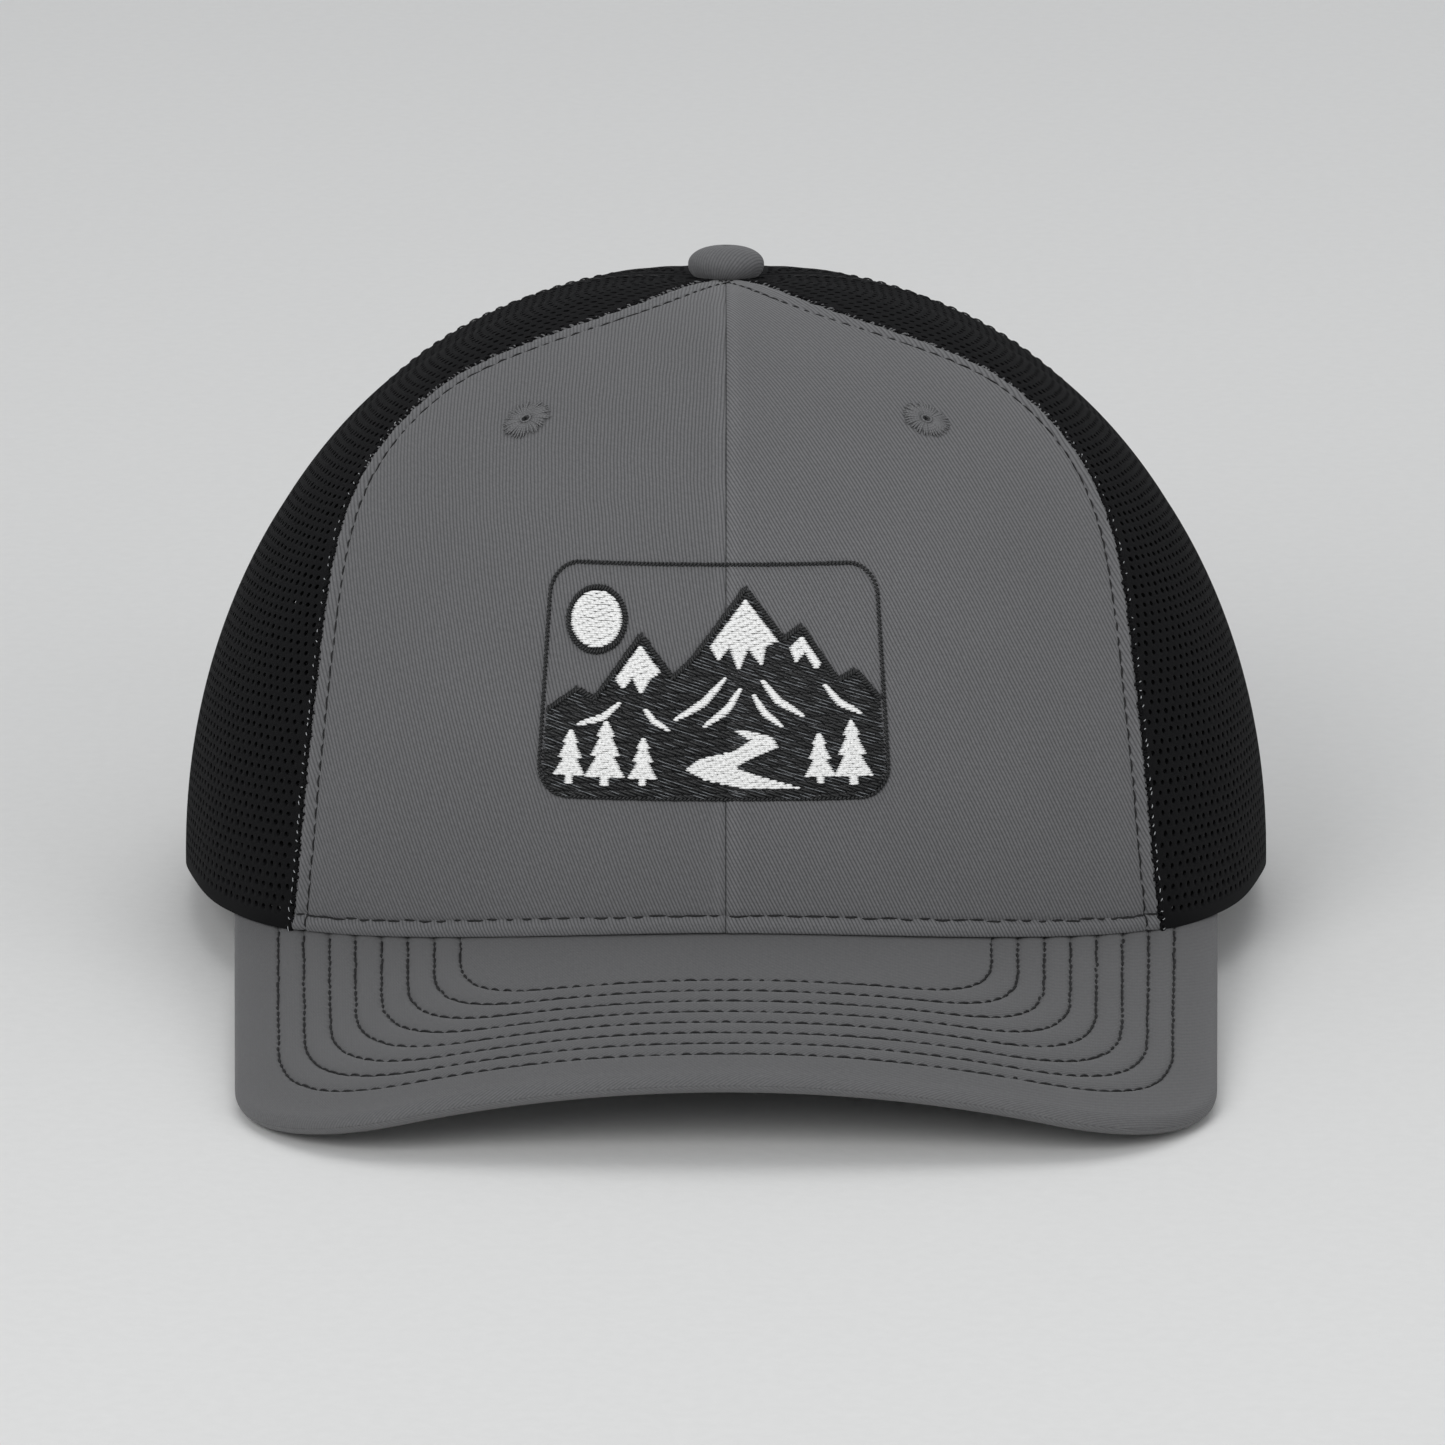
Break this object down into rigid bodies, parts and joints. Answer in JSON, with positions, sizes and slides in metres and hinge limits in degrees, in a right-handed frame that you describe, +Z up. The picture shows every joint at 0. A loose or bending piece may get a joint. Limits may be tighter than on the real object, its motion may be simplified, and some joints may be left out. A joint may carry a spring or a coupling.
{
  "type": "trucker mesh cap",
  "caption": "Snapback cap with a structured two-panel fabric front, net side and rear panels, a curved stitched bill, a top button and a snap closure.",
  "frame": {"origin": "on the surface that the cap stands on, under the middle of its box", "axes": "the bill points along -Y, the wearer's left is +X, +Z is up from the surface that the cap stands on"},
  "size_m": [0.184, 0.2532, 0.1107],
  "materials": {
    "grey_twill": "cotton blend twill weave",
    "black_net": "warp knitted net with small oval holes",
    "stiff_backing": "fused stiff cloth",
    "black_tape": "plain woven tape",
    "sweatband_cloth": "brushed twill",
    "label_cloth": "woven satin label, blank",
    "embroidery_thread": "glossy embroidery thread",
    "grey_thread": "embroidery thread",
    "board_plastic": "flexible sheet",
    "strap_plastic": "satin moulded",
    "rivet_steel": "plated"
  },
  "bodies": {
    "crown": {"front_panel_left": "grey_twill", "front_panel_right": "grey_twill", "front_backing_left": "stiff_backing", "front_backing_right": "stiff_backing", "side_mesh_left": "black_net", "side_mesh_right": "black_net", "rear_mesh_left": "black_net", "rear_mesh_right": "black_net", "front_side_tape_left": "black_tape", "front_side_tape_right": "black_tape", "side_rear_tape_left": "black_tape", "side_rear_tape_right": "black_tape", "centre_front_tape": "black_tape", "centre_rear_tape": "black_tape", "arch_binding": "black_tape", "sweatband": "sweatband_cloth", "care_label": "label_cloth", "emblem": "embroidery_thread", "vent_eyelet_left": "grey_thread", "vent_eyelet_right": "grey_thread", "bill_top_fabric": "grey_twill", "bill_board": "board_plastic", "bill_bottom_fabric": "grey_twill", "strap_holed_tab": "strap_plastic", "strap_studded_tab": "strap_plastic", "button_cover": "grey_twill", "button_shell": "rivet_steel", "button_back_plate": "rivet_steel"},
    "holed_strap": {"strap_holed": "strap_plastic"},
    "studded_strap": {"strap_studded": "strap_plastic"}
  },
  "joints": [
    {"name": "holed_strap_swing", "type": "hinge", "parent": "crown", "child": "holed_strap", "pos_m": [0.04128, 0.11581, 0.01109], "axis": [0.0363, -0.0298, -0.9989], "range_deg": [0, 75]},
    {"name": "studded_strap_swing", "type": "hinge", "parent": "crown", "child": "studded_strap", "pos_m": [-0.04076, 0.1147, 0.0112], "axis": [-0.0368, -0.0287, -0.9989], "range_deg": [0, 60]}
  ]
}
